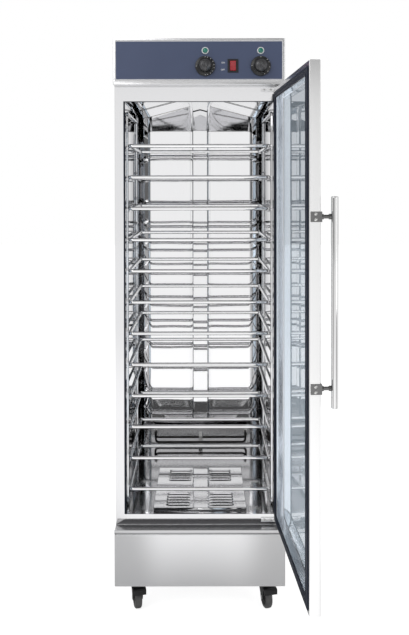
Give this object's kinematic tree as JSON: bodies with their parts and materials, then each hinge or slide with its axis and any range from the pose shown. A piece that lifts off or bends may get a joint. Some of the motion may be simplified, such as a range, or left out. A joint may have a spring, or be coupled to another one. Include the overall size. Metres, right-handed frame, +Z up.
{
  "type": "proofing cabinet",
  "caption": "Tall stainless proofing cabinet on casters: glass door standing open on wire tray supports, louvred floor over a water pan, and a control box on top.",
  "frame": {"origin": "centre of the underside of the base housing, between the casters", "axes": "+Z up; -Y is the front, where the door opens; +X towards the hinge side of the door"},
  "size_m": [0.5736, 1.1717, 1.6946],
  "materials": {
    "brushed_steel": "brushed stainless sheet",
    "polished_steel": "mirror-polished stainless sheet",
    "chromed_wire": "bright chrome",
    "insulation": "matt cream foam",
    "slate_blue_panel": "satin slate blue",
    "black_plastic": "satin black",
    "white_plastic": "gloss white",
    "green_lens": "clear green",
    "red_rocker": "gloss red",
    "navy_rubber": "satin near-black navy",
    "tinted_glass": "clear toughened pane with a light tint",
    "dark_element": "dark oxidised sheath",
    "zinc_steel": "zinc-plated pressed steel",
    "grey_tyre": "matt dark grey",
    "bakelite": "matt dark brown"
  },
  "bodies": {
    "cabinet": {"base_housing": "brushed_steel", "bottom_cover": "brushed_steel", "side_panel_left": "brushed_steel", "side_panel_right": "brushed_steel", "rear_panel": "brushed_steel", "front_frame": "polished_steel", "liner_walls": "polished_steel", "liner_floor": "polished_steel", "liner_ceiling": "polished_steel", "insulation_jacket": "insulation", "air_duct": "polished_steel", "water_pan": "polished_steel", "floor_cover": "polished_steel", "steam_heater": "dark_element", "air_heater": "dark_element", "rack_side_left": "chromed_wire", "rack_side_right": "chromed_wire", "tray_support_01": "chromed_wire", "tray_support_02": "chromed_wire", "tray_support_03": "chromed_wire", "tray_support_04": "chromed_wire", "tray_support_05": "chromed_wire", "tray_support_06": "chromed_wire", "tray_support_07": "chromed_wire", "tray_support_08": "chromed_wire", "tray_support_09": "chromed_wire", "tray_support_10": "chromed_wire", "tray_support_11": "chromed_wire", "tray_support_12": "chromed_wire", "control_housing": "brushed_steel", "control_panel": "slate_blue_panel", "humidity_controller": "bakelite", "temperature_controller": "bakelite", "humidity_lamp_bezel": "white_plastic", "humidity_lamp_lens": "green_lens", "temperature_lamp_bezel": "white_plastic", "temperature_lamp_lens": "green_lens", "switch_housing": "black_plastic", "power_inlet": "black_plastic", "hinge_bracket_top": "zinc_steel", "hinge_bracket_bottom": "zinc_steel"},
    "door": {"door_frame": "brushed_steel", "door_gasket": "navy_rubber", "door_glass": "tinted_glass", "handle_tube": "chromed_wire", "handle_bracket_top": "polished_steel", "handle_bracket_bottom": "polished_steel"},
    "humidity_knob": {"humidity_knob": "black_plastic"},
    "temperature_knob": {"temperature_knob": "black_plastic"},
    "power_rocker": {"power_rocker": "red_rocker"},
    "fork_front_left": {"caster_fork_front_left": "zinc_steel"},
    "fork_front_right": {"caster_fork_front_right": "zinc_steel"},
    "fork_rear_left": {"caster_fork_rear_left": "zinc_steel"},
    "fork_rear_right": {"caster_fork_rear_right": "zinc_steel"},
    "wheel_front_left": {"caster_wheel_front_left": "grey_tyre"},
    "wheel_front_right": {"caster_wheel_front_right": "grey_tyre"},
    "wheel_rear_left": {"caster_wheel_rear_left": "grey_tyre"},
    "wheel_rear_right": {"caster_wheel_rear_right": "grey_tyre"},
    "pedal_front_left": {"brake_pedal_front_left": "black_plastic"},
    "pedal_front_right": {"brake_pedal_front_right": "black_plastic"}
  },
  "joints": [
    {"name": "door_hinge", "type": "hinge", "parent": "cabinet", "child": "door", "pos_m": [0.24, -0.322, 0.8175], "axis": [0, 0, 1], "range_deg": [-93.75, 26.25]},
    {"name": "humidity_dial", "type": "hinge", "parent": "cabinet", "child": "humidity_knob", "pos_m": [0.018, -0.34, 1.519], "axis": [0, 1, 0], "range_deg": [0, 270]},
    {"name": "temperature_dial", "type": "hinge", "parent": "cabinet", "child": "temperature_knob", "pos_m": [0.179, -0.34, 1.519], "axis": [0, 1, 0], "range_deg": [0, 270]},
    {"name": "power_switch", "type": "hinge", "parent": "cabinet", "child": "power_rocker", "pos_m": [0.0985, -0.3428, 1.52], "axis": [1, 0, 0], "range_deg": [-16, 0]},
    {"name": "swivel_front_left", "type": "hinge", "parent": "cabinet", "child": "fork_front_left", "pos_m": [-0.194, -0.255, 0], "axis": [0, 0, 1], "continuous": true},
    {"name": "swivel_front_right", "type": "hinge", "parent": "cabinet", "child": "fork_front_right", "pos_m": [0.194, -0.255, 0], "axis": [0, 0, 1], "continuous": true},
    {"name": "swivel_rear_left", "type": "hinge", "parent": "cabinet", "child": "fork_rear_left", "pos_m": [-0.194, 0.255, 0], "axis": [0, 0, 1], "continuous": true},
    {"name": "swivel_rear_right", "type": "hinge", "parent": "cabinet", "child": "fork_rear_right", "pos_m": [0.194, 0.255, 0], "axis": [0, 0, 1], "continuous": true},
    {"name": "axle_front_left", "type": "hinge", "parent": "fork_front_left", "child": "wheel_front_left", "pos_m": [-0.18844, -0.27732, -0.0635], "axis": [0.9703, 0.2419, 0], "continuous": true},
    {"name": "axle_front_right", "type": "hinge", "parent": "fork_front_right", "child": "wheel_front_right", "pos_m": [0.19956, -0.27732, -0.0635], "axis": [0.9703, 0.2419, 0], "continuous": true},
    {"name": "axle_rear_left", "type": "hinge", "parent": "fork_rear_left", "child": "wheel_rear_left", "pos_m": [-0.18844, 0.23268, -0.0635], "axis": [0.9703, 0.2419, 0], "continuous": true},
    {"name": "axle_rear_right", "type": "hinge", "parent": "fork_rear_right", "child": "wheel_rear_right", "pos_m": [0.19956, 0.23268, -0.0635], "axis": [0.9703, 0.2419, 0], "continuous": true},
    {"name": "brake_front_left", "type": "hinge", "parent": "fork_front_left", "child": "pedal_front_left", "pos_m": [-0.18577, -0.28799, -0.025], "axis": [0.9703, 0.2419, 0], "range_deg": [0, 15]},
    {"name": "brake_front_right", "type": "hinge", "parent": "fork_front_right", "child": "pedal_front_right", "pos_m": [0.20222, -0.28799, -0.025], "axis": [0.9703, 0.2419, 0], "range_deg": [0, 15]}
  ]
}
